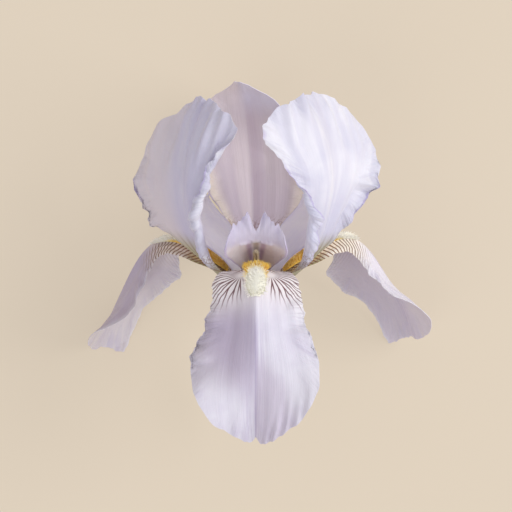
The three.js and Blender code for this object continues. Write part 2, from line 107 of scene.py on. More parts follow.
def smooth(knots):
    """Natural cubic spline through (position, value) knots."""
    x, y = np.array(knots, float).T
    n = len(x)
    step = np.diff(x)
    system = np.eye(n)
    turn = np.zeros(n)
    for i in range(1, n - 1):
        system[i, i - 1:i + 2] = [step[i - 1], 2 * (step[i - 1] + step[i]), step[i]]
        turn[i] = 6 * ((y[i + 1] - y[i]) / step[i] - (y[i] - y[i - 1]) / step[i - 1])
    bend = np.linalg.solve(system, turn)

    def at(t):
        t, i = interval(x, t)
        p = (x[i + 1] - t) / step[i]
        r = 1 - p
        cubic = ((p ** 3 - p) * bend[i] + (r ** 3 - r) * bend[i + 1]) * step[i] ** 2 / 6
        return p * y[i] + r * y[i + 1] + cubic
    return at


def gentle(knots):
    """Cubic through (position, value) knots that never swings past them."""
    x, y = np.array(knots, float).T
    n = len(x)
    if n == 1:
        return lambda t: np.full(np.shape(t), y[0])
    grade = np.diff(y) / np.diff(x)
    slope = np.zeros(n)
    slope[0], slope[-1] = grade[0], grade[-1]
    for i in range(1, n - 1):
        before, after = grade[i - 1], grade[i]
        if before * after > 0:
            slope[i] = 2 * before * after / (before + after)

    def at(t):
        t, i = interval(x, t)
        step = x[i + 1] - x[i]
        r = (t - x[i]) / step
        start = r * (1 - r) ** 2 * step * slope[i]
        end = r * r * (r - 1) * step * slope[i + 1]
        return y[i] + (y[i + 1] - y[i]) * ease(r) + start + end
    return at


def unit(v):
    return v / np.maximum(np.linalg.norm(v, axis=-1, keepdims=True), 1e-9)


rise = math.radians(AXIS_RISE)
UP = np.array([0, math.cos(rise), math.sin(rise)])
FRONT = np.array([0, -math.sin(rise), math.cos(rise)])
RIGHT = np.array([1.0, 0, 0])


def basis(azimuth):
    """Rows: out from the axis, along it, and sideways at an azimuth counted from the front."""
    a = math.radians(azimuth)
    out = FRONT * math.cos(a) + RIGHT * math.sin(a)
    side = RIGHT * math.cos(a) - FRONT * math.sin(a)
    return np.array([out, UP, side])


# Midribs and blades


class Midrib:
    """A curve through (out, up, side) points, with a frame at each share u of its length."""

    def __init__(self, azimuth, points):
        local = np.array([tuple(p) + (0,) * (3 - len(p)) for p in points], float)
        chord = np.linalg.norm(np.diff(local, axis=0), axis=1)
        along = np.concatenate([[0], np.cumsum(chord)])
        self.length = along[-1]
        self.basis = basis(azimuth)
        self.tracks = [smooth(list(zip(along / self.length, local[:, k]))) for k in range(3)]

    def at(self, u):
        return np.stack([track(u) for track in self.tracks], -1)

    def frame(self, u):
        """Point, tangent, direction across and direction toward the inner face, in the part's frame."""
        tangent = unit(self.at(np.minimum(u + 0.001, 1)) - self.at(np.maximum(u - 0.001, 0)))
        across = unit(np.array([0, 0, 1.0]) - tangent * tangent[..., 2:3])
        inward = -np.cross(tangent, across)
        point = self.at(u) @ self.basis + THROAT
        return point, tangent @ self.basis, across @ self.basis, inward @ self.basis


def waves(height, count, phase=0.0, centre=0.6, start=0.28, fine=0.0, fine_count=23):
    """Waves that grow toward the margin, counted round a point on the midrib."""
    def at(u, s, width, length):
        angle = np.arctan2(s * width, (u - centre) * length)
        edge = np.maximum(ease((np.abs(s) - 0.45) / 0.55), ease((u - 0.72) / 0.28))
        rim = np.maximum(ease((np.abs(s) - 0.7) / 0.3), ease((u - 0.85) / 0.15))
        tall = height * np.sin(count * angle + phase)
        small = fine * np.sin(fine_count * angle + 2 * phase + 1.5 * np.sin(5 * angle))
        tiny = 0.45 * fine * np.sin(2.1 * fine_count * angle + 3 * phase + 2 * np.sin(7 * angle))
        return ease((u - start) / 0.2) * (edge * (tall + small) + rim * tiny)
    return at


def round_loss(s, end_round):
    """How much of the length is missing at a place across a blade with a round end."""
    return end_round * (1 - np.sqrt(1 - TIP_CURVE * s * s)) / (1 - math.sqrt(1 - TIP_CURVE))


def ragged(along, seed):
    """An uneven line between about -1 and 1, with teeth 2 to 9 mm long."""
    draw = np.random.default_rng(seed)
    total = np.zeros(np.shape(along))
    for length in (1.7, 2.3, 3.7, 5.3, 9.0):
        total += np.sin(along * 2 * math.pi / length + draw.uniform(0, 2 * math.pi)) * length / 9
    return total


def crumple(x):
    """A sharp ridge with a shallow valley on each side.

    A crumple runs in from the margin: its place along, reach, height, and where it starts across.
    A crease runs up to the end: its place across, lean, reach, height, and where it starts along.
    """
    return np.exp(-x * x) - 0.45 * np.exp(-(x - 1.7) ** 2) - 0.45 * np.exp(-(x + 1.7) ** 2)


class Surface:
    """A blade's middle surface at share u of its midrib and q across it, from -1 to 1.

    Each half has a width, and degrees by which its section slopes: roof at the midrib, cup more toward
    the margin and roll more beyond roll_from. sweep is how far the margin lies ahead.
    """

    PROFILES = (("width", 1), ("roof", 0), ("cup", 0), ("roll", 0), ("roll_from", 0.5), ("sweep", 0))

    def __init__(self, spec):
        self.spec = spec
        self.rib = Midrib(spec["azimuth"], spec["midrib"])
        self.length = self.rib.length
        self.halves = {name: self.profiles(spec[name]) for name in ("cw", "ccw")}

    def profiles(self, half):
        """A half's own profiles, or else those that both halves share."""
        return {key: gentle(half.get(key, self.spec.get(key, [(0, rest)]))) for key, rest in self.PROFILES}

    def section(self, here, s):
        """How far a smooth section reaches across and inward at s, and its slope there."""
        def angle(at):
            rolled = ease((at - here["roll_from"]) / (1 - here["roll_from"]))
            return np.radians(here["roof"] + here["cup"] * at + here["roll"] * rolled)

        across = np.zeros_like(s)
        inward = np.zeros_like(s)
        for k in range(SECTION_STEPS):
            a = angle((k + 0.5) / SECTION_STEPS * s)
            across += np.cos(a) * s / SECTION_STEPS * here["width"]
            inward += np.sin(a) * s / SECTION_STEPS * here["width"]
        return across, inward, angle(s)

    def relief(self, name, u, q, width):
        """How far waves, crumples and creases stand off the smooth section."""
        s = np.abs(q)
        lift = np.zeros_like(u)
        if "wave" in self.spec:
            lift = self.spec["wave"](u, q, width, self.length)
        for at, reach, height, start in self.spec[name].get("crumples", []):
            lift = lift + crumple((u - at) / reach) * height * ease((s - start) / (1 - start))
        for at, lean, reach, height, start in self.spec[name].get("creases", []):
            lift = lift + crumple((s - at - lean * (1 - u)) / reach) * height * ease((u - start) / 0.15)
        return lift

    def half(self, name, u, s):
        """Points of one half, and its widths there."""
        sign = -1 if name == "cw" else 1
        here = {key: profile(u) for key, profile in self.halves[name].items()}
        across, inward, slope = self.section(here, s)
        teeth = self.spec.get("teeth", 0) * ragged(u * self.length, 5 + sign) * s ** 9
        teeth = teeth * ease((u - CLAW_END) / 0.25)
        lift = self.relief(name, u, sign * s, here["width"])
        across = across + np.cos(slope) * teeth - np.sin(slope) * lift
        inward = inward + np.sin(slope) * teeth + np.cos(slope) * lift
        point, tangent, side, inner = self.rib.frame(u)
        points = point + side * (sign * across)[..., None] + inner * inward[..., None]
        return points + tangent * (here["sweep"] * s * s)[..., None], here["width"]

    def at(self, u, q):
        points = np.zeros(q.shape + (3,))
        width = np.zeros(q.shape)
        for name, picked in (("cw", q < 0), ("ccw", q >= 0)):
            points[picked], width[picked] = self.half(name, u[picked], np.abs(q[picked]))
        return points, width

    def lifted(self, u, offset):
        """Points and inward directions on the surface, at an offset in millimetres from the midrib."""
        width = np.where(offset < 0, self.halves["cw"]["width"](u), self.halves["ccw"]["width"](u))
        q = offset / width
        point = self.at(u, q)[0]
        ahead = self.at(u + 0.004, q)[0] - self.at(u - 0.004, q)[0]
        beside = self.at(u, q + 0.02)[0] - self.at(u, q - 0.02)[0]
        return point, unit(np.cross(ahead, beside))


class Blade:
    """A blade's grid of points, and what each point is: u along and q across."""

    def __init__(self, spec, rows, columns):
        x = np.arange(-columns, columns + 1) / columns
        across = (1 - MARGIN_CROWDING) * x + MARGIN_CROWDING * np.sin(math.pi / 2 * x)
        self.t, self.q = np.meshgrid(np.linspace(0, 1, rows + 1), across, indexing="ij")
        surface = Surface(spec)
        loss = spec.get("tip_loss", round_loss)
        end_round = np.where(self.q < 0, spec["cw"].get("round", 0.3), spec["ccw"].get("round", 0.3))
        missing = loss(np.abs(self.q), end_round)
        teeth = spec.get("teeth", 0) * ragged(self.q * 20, 9) * ease((self.t - 0.8) / 0.2)
        self.u = self.t * (1 - missing * self.t ** TIP_REACH)
        self.points, self.width = surface.at(self.u, self.q)
        self.points = self.points + unit(np.gradient(self.points, axis=0)) * teeth[..., None]
        self.length = surface.length

    def normals(self):
        """Directions toward the inner face, drawn a little toward their neighbours'."""
        ahead = np.gradient(self.points, axis=0)
        beside = np.gradient(self.points, axis=1)
        found = unit(np.cross(ahead, beside))
        for _ in range(2):
            wide = np.pad(found, ((1, 1), (1, 1), (0, 0)), mode="edge")
            found = unit(2 * found + wide[2:, 1:-1] + wide[:-2, 1:-1] + wide[1:-1, 2:] + wide[1:-1, :-2])
        return found


def folds(height, seed):
    """Soft folds that run along a blade and fan out with it, none at its foot."""
    draw = np.random.default_rng(seed)
    parts = [(count * draw.uniform(0.85, 1.15), draw.uniform(0, 2 * math.pi, 3), draw.uniform(0.5, 1.4))
             for count in FOLD_COUNTS]

    def at(blade):
        total = np.zeros(blade.u.shape)
        for count, shift, drift in parts:
            sway = 0.5 * np.sin(2 * math.pi * drift * blade.u + shift[1])
            fading = 0.65 + 0.35 * np.sin(2 * math.pi * drift * blade.u * 0.8 + shift[2])
            total += np.sin(2 * math.pi * count * blade.q + shift[0] + sway) * fading / count ** 0.9
        return total * height * ease((blade.u - 0.15) / 0.3)
    return at


# Meshes


def make_mesh(name, points, faces, values, coordinates=None):
    """A smooth mesh object from points in millimetres, with UV maps and a value at each point."""
    mesh = bpy.data.meshes.new(name)
    mesh.from_pydata((points * MM).tolist(), [], faces)
    mesh.polygons.foreach_set("use_smooth", [True] * len(mesh.polygons))
    corners = np.zeros(len(mesh.loops), int)
    mesh.loops.foreach_get("vertex_index", corners)
    for key, pair in (coordinates or {}).items():
        layer = mesh.uv_layers.new(name=key)
        layer.data.foreach_set("uv", pair[corners].ravel())
    for key, value in values.items():
        layer = mesh.attributes.new(key, "FLOAT", "POINT")
        layer.data.foreach_set("value", value)
    mesh.validate()
    mesh.set_sharp_from_angle(angle=math.radians(RIM_ANGLE))
    mesh.update()
    piece = bpy.data.objects.new(name, mesh)
    bpy.context.scene.collection.objects.link(piece)
    return piece


def slab_faces(rows, columns):
    """Quads of a closed sheet: an upper grid, a lower grid and the rim between them."""
    grid = np.arange(rows * columns).reshape(rows, columns)
    a = grid[:-1, :-1].ravel()
    upper = np.stack([a, a + columns, a + columns + 1, a + 1], 1)
    lower = upper[:, ::-1] + grid.size
    rim = np.concatenate([grid[0, :-1], grid[:-1, -1], grid[-1, :0:-1], grid[:0:-1, 0]])
    ahead = np.roll(rim, -1)
    sides = np.stack([rim, ahead, ahead + grid.size, rim + grid.size], 1)
    return np.concatenate([upper, lower, sides])


def tube_faces(start, rings, sides):
    """Quads between rings of points, and the two ends."""
    faces = []
    for i in range(rings - 1):
        for j in range(sides):
            a = start + i * sides + j
            b = start + i * sides + (j + 1) % sides
            faces.append([a, b, b + sides, a + sides])
    faces.append([start + sides - 1 - j for j in range(sides)])
    faces.append([start + (rings - 1) * sides + j for j in range(sides)])
    return faces


def outward(points, faces):
    """The faces, turned over if they point inward."""
    corners = points[faces]
    cross = np.cross(corners[:, 1] - corners[:, 0], corners[:, 2] - corners[:, 0])
    volume = (corners.mean(1) * cross).sum()
    return faces if volume > 0 else faces[:, ::-1]


def tepal_thickness(blade):
    """Thinner toward the margin and the end."""
    return BLADE_ROOT + (BLADE_MARGIN - BLADE_ROOT) * np.maximum(blade.t, np.abs(blade.q)) ** 0.6


def blade_piece(name, spec, size, thickness=tepal_thickness, relief=None):
    """A blade as a thin closed sheet. What would hang below the table is pressed up to it."""
    blade = Blade(spec, *size)
    normal = blade.normals()
    if relief:
        blade.points = blade.points + normal * relief(blade)[..., None]
        normal = blade.normals()
    depth = thickness(blade)
    over = np.minimum(depth, BLADE_ROOT) / 2
    upper = blade.points + normal * over[..., None]
    lower = blade.points - normal * (depth - over)[..., None]
    lift = np.maximum(0, -np.minimum(upper[..., 2], lower[..., 2]))
    upper[..., 2] += lift
    lower[..., 2] += lift
    points = np.concatenate([upper.reshape(-1, 3), lower.reshape(-1, 3)])
    faces = outward(points, slab_faces(*blade.u.shape))
    twice = lambda grid: np.concatenate([grid.ravel(), grid.ravel()])
    inner = np.concatenate([np.ones(blade.u.size), np.zeros(blade.u.size)])
    flat = np.stack([twice(blade.q * blade.width), twice(blade.u * blade.length)], 1) / FLAT_SPAN + (0.5, 0)
    share = np.stack([twice(blade.q) / 2 + 0.5, twice(blade.u)], 1)
    return make_mesh(name, points, faces.tolist(), {"inner": inner}, {"share": share, "flat": flat})


# Falls: three hanging tepals, each over an arched haft


def notched_loss(s, end_round):
    """A round end with a small notch in its middle."""
    return round_loss(s, end_round) + 0.02 * np.exp(-(s / 0.06) ** 2)


front_width = [(0, 2.6), (0.12, 6.5), (0.22, 11.5), (0.34, 15), (0.45, 16.4)]
fall_front = {
    "azimuth": 0,
    "midrib": [(FALL_FOOT, CLAW_FOOT), (11.3, 9), (19, 15.5), (28, 18.5), (37, 16), (44, 8), (48, -3.5),
               (49.5, -16), (48.5, -27), (46.5, -35.5)],
    "cw": {
        "width": front_width + [(0.58, 19.2), (0.65, 21.6), (0.72, 22.6), (0.8, 23.5), (0.9, 22.3), (1, 17)],
        "roof": [(0, 10), (0.12, 8), (0.3, -8), (0.48, -26), (0.6, -28), (0.7, -14), (0.8, 10), (1, 18)],
        "cup": [(0, 20), (0.12, 10), (0.3, -8), (0.5, 4), (0.62, 8), (0.78, -14), (1, -16)],
        "crumples": [(0.69, 0.022, 2.1, 0.6), (0.645, 0.014, -0.9, 0.72), (0.73, 0.012, 0.7, 0.7)],
        "round": 0.32,
    },
    "ccw": {
        "width": front_width + [(0.58, 17.8), (0.7, 21.6), (0.8, 23.5), (0.9, 22.3), (1, 17)],
        "roof": [(0, 10), (0.12, 8), (0.3, -8), (0.48, -18), (0.62, -8), (0.74, 6), (0.84, 17), (1, 21)],
        "cup": [(0, 20), (0.12, 10), (0.3, -10), (0.52, -8), (0.7, -15), (0.86, -14), (1, -10)],
        "creases": [(0.2, 0, 0.035, 0.4, 0.84), (0.34, 0, 0.035, 0.55, 0.8), (0.48, 0, 0.035, 0.6, 0.78),
                    (0.62, 0, 0.035, 0.6, 0.78), (0.76, 0, 0.035, 0.55, 0.74), (0.9, 0, 0.03, 0.4, 0.72)],
        "round": 0.35,
    },
    "tip_loss": notched_loss,
    "wave": waves(0.7, 9, phase=0.5, fine=0.2),
    "teeth": 0.3,
}

side_roof = [(0, 10), (0.12, 0), (0.25, -28), (0.4, -45), (0.52, -50)]
side_cup = [(0, 20), (0.12, 10), (0.3, -8), (1, -4)]
side_haft = [(FALL_FOOT, CLAW_FOOT), (12, 8.5), (20, 13.5)]
side_width = [(0, 2.6), (0.12, 5), (0.3, 6)]
fall_left = {
    "azimuth": -120,
    "midrib": side_haft + [(28, 17), (36.8, 17.4), (45, 12.7), (51.5, 4.2), (56.5, -5), (61.5, -15.5),
                           (66, -28)],
    "cup": side_cup,
    "cw": {
        "width": side_width + [(0.38, 8), (0.47, 13), (0.56, 17), (0.68, 14.5), (0.82, 11), (1, 10)],
        "roof": side_roof + [(0.65, -45), (0.8, -34), (1, -25)],
        "sweep": [(0, 0), (0.7, 0), (0.9, 4), (1, 5.5)],
        "round": 0.04,
    },
    "ccw": {
        "width": side_width + [(0.42, 6.5), (0.52, 9.5), (0.68, 16), (0.82, 21), (1, 20)],
        "roof": side_roof + [(0.65, -45), (0.8, -22), (1, 0)],
        "sweep": [(0, 0), (0.7, 0), (0.9, -4), (1, -6)],
        "round": 0.14,
    },
    "wave": waves(0.6, 9, phase=1.5, start=0.45, fine=0.15),
    "teeth": 0.18,
}
fall_right = {
    "azimuth": 120,
    "midrib": side_haft + [(28, 17.5), (36.8, 18.5), (45, 14), (51.5, 6), (57, -2.5), (62, -12), (66, -24)],
    "cup": side_cup,
    "cw": {
        "width": side_width + [(0.42, 6.5), (0.52, 8), (0.62, 11), (0.7, 14), (0.8, 16), (0.9, 18.5),
                               (1, 20)],
        "roof": side_roof + [(0.62, -38), (0.78, -5), (1, 8)],
        "sweep": [(0, 0), (0.7, 0), (0.9, -2.5), (1, -4)],
        "round": 0.15,
    },
    "ccw": {
        "width": side_width + [(0.38, 7), (0.47, 12.5), (0.56, 19), (0.68, 18), (0.82, 12), (1, 9)],
        "roof": side_roof + [(0.65, -46), (0.8, -40), (1, -35)],
        "sweep": [(0, 0), (0.7, 0), (0.9, 4), (1, 5)],
        "round": 0.03,
    },
    "wave": waves(0.6, 9, phase=0.8, start=0.45, fine=0.15),
    "teeth": 0.18,
}

# Standards: three upright tepals. The two beside the front fall roll their near margin outward

far_cup = [(0, 25), (0.3, 0), (0.6, -25), (1, -10)]
standard_left = {
    "azimuth": -60,
    "midrib": [(STANDARD_FOOT, CLAW_FOOT), (11.5, 8), (21, 18.5), (26.5, 30), (28.8, 42), (28, 52),
               (25.5, 61), (22.5, 68.5), (19.5, 73.5)],
    "cw": {
        "width": [(0, 2), (0.15, 3.5), (0.25, 6), (0.35, 16.5), (0.42, 22.5), (0.55, 24), (0.7, 26.5),
                  (0.85, 27), (1, 21)],
        "cup": far_cup,
        "sweep": [(0, 0), (0.3, 0), (0.5, -4), (1, -7)],
        "round": 0.4,
        "crumples": [(0.5, 0.02, 1.4, 0.5), (0.44, 0.014, -0.9, 0.6), (0.72, 0.03, 0.9, 0.55)],
        "creases": [(0, 0, 0.05, 0.6, 0.68), (0.3, 0.5, 0.08, 0.9, 0.6), (0.62, 0.3, 0.07, -0.8, 0.5)],
    },
    "ccw": {
        "width": [(0, 2), (0.15, 4), (0.27, 8), (0.36, 12), (0.5, 14), (0.62, 14), (0.72, 15), (0.82, 17.5),
                  (0.92, 20), (1, 19)],
        "cup": [(0, 25), (0.3, 30), (0.6, 60), (1, 50)],
        "roll": [(0, 0), (0.2, -40), (0.35, -210), (0.5, -215), (0.62, -200), (0.75, -140), (0.85, -30),
                 (1, 0)],
        "roll_from": [(0, 0.4), (0.5, 0.42), (0.65, 0.7), (0.8, 0.75), (1, 0.75)],
        "sweep": [(0, 0), (0.5, 0), (0.8, 3), (1, 3)],
        "round": 0.16,
        "crumples": [(0.33, 0.01, 0.35, 0.45), (0.385, 0.016, -0.5, 0.5), (0.47, 0.012, 0.55, 0.45),
                     (0.5, 0.01, -0.3, 0.6), (0.575, 0.018, 0.45, 0.55)],
        "creases": [(0, 0, 0.05, 0.6, 0.68), (0.35, 0.4, 0.07, -0.8, 0.66), (0.66, 0.5, 0.06, 0.8, 0.72)],
    },
    "wave": waves(0.8, 10, phase=0.3, fine=0.22),
    "teeth": 0.4,
}
standard_right = {
    "azimuth": 60,
    "midrib": [(STANDARD_FOOT, CLAW_FOOT), (11.5, 7.5), (19.5, 15.5), (26, 27), (29, 38.5), (29.8, 48),
               (28.3, 58), (25, 68.5), (21, 75.5)],
    "cw": {
        "width": [(0, 2), (0.15, 4), (0.27, 8), (0.36, 14), (0.5, 17.5), (0.62, 17.5), (0.7, 19.3),
                  (0.76, 22.5), (0.8, 24.8), (0.85, 26.3), (0.92, 27), (1, 26)],
        "cup": [(0, 25), (0.3, 30), (0.6, 55), (1, 40)],
        "roll": [(0, 0), (0.2, -40), (0.35, -205), (0.5, -210), (0.6, -150), (0.7, -30), (0.8, 0), (1, 0)],
        "roll_from": [(0, 0.42), (0.5, 0.45), (0.62, 0.7), (0.8, 0.75), (1, 0.75)],
        "sweep": [(0, 0), (0.5, 0), (0.8, 3), (1, 6)],
        "round": 0.14,
        "crumples": [(0.35, 0.012, -0.4, 0.45), (0.41, 0.018, 0.5, 0.5), (0.445, 0.01, -0.3, 0.6),
                     (0.52, 0.014, 0.45, 0.5), (0.6, 0.02, -0.4, 0.55)],
        "creases": [(0.24, 0.5, 0.06, -1.4, 0.82), (0.5, 0.6, 0.07, -1.0, 0.7), (0.74, 0.5, 0.05, 0.5, 0.78)],
    },
    "ccw": {
        "width": [(0, 2), (0.15, 3.5), (0.27, 5), (0.34, 11.5), (0.42, 13), (0.5, 15), (0.56, 19),
                  (0.62, 23.3), (0.72, 26.5), (0.86, 26), (1, 20)],
        "cup": far_cup,
        "sweep": [(0, 0), (0.3, 0), (0.5, -4), (1, -4)],
        "round": 0.34,
        "crumples": [(0.62, 0.013, -2.4, 0.45), (0.585, 0.012, 1.5, 0.5), (0.54, 0.014, -1.3, 0.5),
                     (0.66, 0.014, 0.9, 0.6), (0.8, 0.03, 0.8, 0.5)],
        "creases": [(0.3, 0.4, 0.07, 0.7, 0.6), (0.6, 0.2, 0.06, -0.6, 0.6)],
    },
    "wave": waves(0.8, 10, phase=2, fine=0.22),
    "teeth": 0.4,
}


def pointed_loss(s, end_round):
    """A round end with a small point in its middle."""
    return round_loss(s, end_round) + 0.06 * ease((s - 0.05) / 0.3)


standard_back = {
    "azimuth": 180,
    "midrib": [(STANDARD_FOOT, CLAW_FOOT, 0), (14, 6, 0), (30, 13, 0.5), (46, 25, 1), (55, 40, 2),
               (52, 54, 3.5), (40, 65.5, 5), (26, 73.5, 6.5)],
    "cup": [(0, 25), (0.3, 35), (0.6, 40), (1, 25)],
    "cw": {
        "width": [(0, 2), (0.18, 3.5), (0.27, 10), (0.36, 20), (0.5, 23), (0.7, 23.5), (0.88, 19), (1, 11)],
        "sweep": [(0, 0), (0.6, 0), (0.9, -8), (1, -9)],
        "round": 0.38,
    },
    "ccw": {
        "width": [(0, 2), (0.18, 3.5), (0.27, 7.5), (0.36, 13), (0.42, 16.5), (0.48, 19.5),
                  (0.56, 21.5), (0.7, 23), (0.88, 20.5), (1, 11)],
        "round": 0.38,
    },
    "tip_loss": pointed_loss,
    "wave": waves(0.8, 9, phase=1, fine=0.22),
    "teeth": 0.45,
}

# Style arms: petal-like, arched over each haft, and split into two upright crests

STIGMA = {"at": 0.735, "half": 0.62, "height": 1.0}
style_midrib = [(STYLE_FOOT, 2), (5, 10), (10.5, 18), (17, 24), (22, 27.5), (24, 32), (23.5, 38.5)]
crest_outline = gentle([(0, 0.17), (0.1, 0.12), (0.2, 0.03), (0.27, 0), (0.4, 0.035), (0.75, 0.1), (1, 0.2)])


def crest_loss(s, end_round):
    """The split between the crests, their outer slopes and their ragged margin."""
    teeth = 0.03 * np.abs(np.sin(10 * s + 1.2 * np.sin(8 * s))) + 0.022 * np.abs(np.sin(23 * s + 0.6))
    return crest_outline(s) + teeth * ease((s - 0.12) / 0.15)


def style_arm(azimuth, roof, cw_cup, ccw_cup):
    def half(cup):
        return {
            "width": [(0, 1.6), (0.2, 4), (0.36, 6), (0.5, 9), (0.72, 11.5), (0.85, 11), (1, 12)],
            "cup": [(0, -30), (0.5, cup), (0.75, cup), (1, 10)],
        }
    return {
        "azimuth": azimuth,
        "midrib": style_midrib,
        "roof": [(0, -20), (0.4, roof - 4), (0.7, roof), (1, 0)],
        "cw": half(cw_cup),
        "ccw": half(ccw_cup),
        "tip_loss": crest_loss,
        "wave": waves(0.6, 8, phase=azimuth + 0.6, centre=0.7, start=0.74, fine=0.3, fine_count=25),
    }


def style_thickness(blade):
    """Thin, with the stigma's lip across the under face where the crests begin."""
    body = 0.75 - 0.4 * np.maximum(blade.t, np.abs(blade.q))
    lip = STIGMA["height"] * np.exp(-((blade.u - STIGMA["at"]) / 0.014) ** 2)
    return body + lip * ease((STIGMA["half"] - np.abs(blade.q)) / 0.2)


# Stamens: a flat filament and a longer anther under each style arm


def stamen(azimuth):
    half = {"width": [(0, 0.6), (0.45, 0.6), (0.52, 1.1), (0.92, 1.1), (1, 0.5)], "round": 0.0}
    return {
        "azimuth": azimuth,
        "midrib": [(STAMEN_FOOT, CLAW_FOOT), (6.2, 8), (11, 15), (15.2, 19.4), (19.3, 23)],
        "cw": half,
        "ccw": half,
    }


def stamen_thickness(blade):
    body = 0.7 + 0.6 * ease((blade.u - 0.45) / 0.1)
    round_section = np.sqrt(np.clip(1 - 0.85 * blade.q ** 2, 0, 1))
    furrow = 1 - 0.35 * np.exp(-(blade.q / 0.18) ** 2) * ease((blade.u - 0.5) / 0.05)
    return body * round_section * furrow


# Beards: a slim core along the fall's midrib, thickly set with curved hairs


def beard_share(t):
    """The place on the fall's midrib."""
    return BEARD_SPAN[0] + (BEARD_SPAN[1] - BEARD_SPAN[0]) * t


def beard_half(t, widest):
    """Half the beard's width: blunt at both ends and slimmer outward."""
    return widest * np.sqrt(np.clip(1 - (2 * t - 1) ** 6, 0.15, 1)) * (1 - 0.18 * t)


def beard_core(surface, widest):
    """Points and faces of the strip that the hairs stand on, and how far out each point's colour is."""
    rows, columns = BEARD_GRID
    t, q = np.meshgrid(np.linspace(0, 1, rows), np.linspace(-1, 1, columns), indexing="ij")
    point, inward = surface.lifted(beard_share(t), q * beard_half(t, widest))
    ends = np.minimum(1, np.minimum(8 * t, 8 * (1 - t)))
    crown = BEARD_FOOT + 0.15 + BEARD_CROWN * np.sqrt(np.clip(1 - q * q, 0, 1)) * ends
    upper = point + inward * crown[..., None]
    lower = point + inward * BEARD_FOOT
    points = np.concatenate([upper.reshape(-1, 3), lower.reshape(-1, 3)])
    faces = outward(points, slab_faces(rows, columns)).tolist()
    return points, faces, np.tile((t - BEARD_LAG * q * q).ravel(), 2)


def hair(draw, root, inward, tangent, across, at, side):
    """The rings of one curved hair. Those near the beard's tip lean forward, and apart as a fringe."""
    fringe = ease((at - 0.75) / 0.25)
    lean = (0.75 + 0.5 * fringe) * side + draw.normal(0, 0.15 + 0.15 * fringe)
    forward = draw.normal(0.15 + 0.9 * ease((at - 0.55) / 0.45), 0.25)
    direction = unit(inward * math.cos(lean) + across * math.sin(lean) + tangent * forward)
    foot = root + inward * (BEARD_FOOT + 0.1)
    grown = 0.6 + 0.4 * ease(at / 0.35) - 0.1 * fringe - 0.3 * side ** 2 * (1 - fringe)
    short = 1 - 0.45 * (1 - abs(side) ** 1.5) * ease((at - 0.5) / 0.15)
    length = HAIR_LENGTH * grown * short * draw.uniform(0.75, 1.08)
    bend = unit(draw.normal(size=3)) * HAIR_BEND * length
    thick = draw.uniform(*HAIR_RADIUS)
    first = unit(np.cross(direction, tangent))
    second = np.cross(direction, first)
    turns = 2 * math.pi * np.arange(HAIR_SIDES)[:, None] / HAIR_SIDES
    ring = first * np.cos(turns) + second * np.sin(turns)
    rings = []
    for j in range(HAIR_JOINTS + 1):
        r = j / HAIR_JOINTS
        centre = foot + direction * length * r + bend * r * r
        rings.append(centre + ring * (thick * (1 - 0.7 * r)))
    return np.concatenate(rings)


def beard_piece(name, fall, widest, seed):
    surface = Surface(fall)
    draw = np.random.default_rng(seed)
    core, faces, lying = beard_core(surface, widest)
    points = [core]
    rings = np.repeat(np.arange(HAIR_JOINTS + 1) / HAIR_JOINTS, HAIR_SIDES)
    at = 0.02 + 0.96 * (np.arange(BEARD_HAIRS) + draw.uniform(0, 1, BEARD_HAIRS)) / BEARD_HAIRS
    side = draw.uniform(-0.95, 0.95, BEARD_HAIRS)
    roots, inwards = surface.lifted(beard_share(at), side * beard_half(at, widest))
    tangents, acrosses = surface.rib.frame(beard_share(at))[1:3]
    for number, stand in enumerate(zip(roots, inwards, tangents, acrosses, at, side)):
        points.append(hair(draw, *stand))
        faces += tube_faces(len(core) + number * len(rings), HAIR_JOINTS + 1, HAIR_SIDES)
    along = np.concatenate([lying, np.repeat(at - BEARD_LAG * side ** 2, len(rings))])
    height = np.concatenate([np.full(len(core), 0.35), np.tile(rings, BEARD_HAIRS)])
    return make_mesh(name, np.concatenate(points), faces, {"along": along, "height": height})


# Ovary, perianth tube, style column and a stub of the cut stalk, turned about the flower's axis

STALK_PROFILE = [
    # radius, and height over the throat
    (0.02, 3.2), (0.85, 3), (1.05, 2.4), (1.05, 0.7), (1.6, 0.2), (5.9, 0.2), (6.3, -0.4), (5, -3), (3.3, -8),
    (2.7, -14), (3, -19), (4.6, -24), (5.5, -31), (4.9, -37), (3.1, -42), (2.5, -45), (2.4, -50), (0.02, -50),
]
OVARY = {"lobes": 3, "depth": 0.12, "height": -31, "reach": 14}


def stalk_piece(name, sides=96, steps=6):
    """A turned form whose ovary has lobes, and whose skin has fine grooves."""
    corners = np.arange(len(STALK_PROFILE))
    places = np.arange(corners[-1] * steps + 1) / steps
    radius, height = [np.interp(places, corners, track) for track in zip(*STALK_PROFILE)]
    body = (height < -1) & (height > -49.5)
    for _ in range(12):
        soft = np.convolve(np.pad(radius, 1, mode="edge"), [0.25, 0.5, 0.25], "valid")
        radius = np.where(body, soft, radius)
    angle = np.arange(sides) * 2 * math.pi / sides
    depth = OVARY["depth"] * ease(1 - np.abs(height - OVARY["height"]) / OVARY["reach"])
    groove = 0.018 * ease((-height - 2) / 6)[:, None] * np.cos(6 * angle)
    swell = 1 + depth[:, None] * np.cos(OVARY["lobes"] * angle) + groove
    side = (radius[:, None] * swell * np.sin(angle))[..., None] * RIGHT
    front = (radius[:, None] * swell * np.cos(angle))[..., None] * FRONT
    points = (THROAT + side + front + height[:, None, None] * UP).reshape(-1, 3)
    faces = [face[::-1] for face in tube_faces(0, len(places), sides)]
    return make_mesh(name, points, faces, {"height": np.repeat(height, sides)})


# Materials


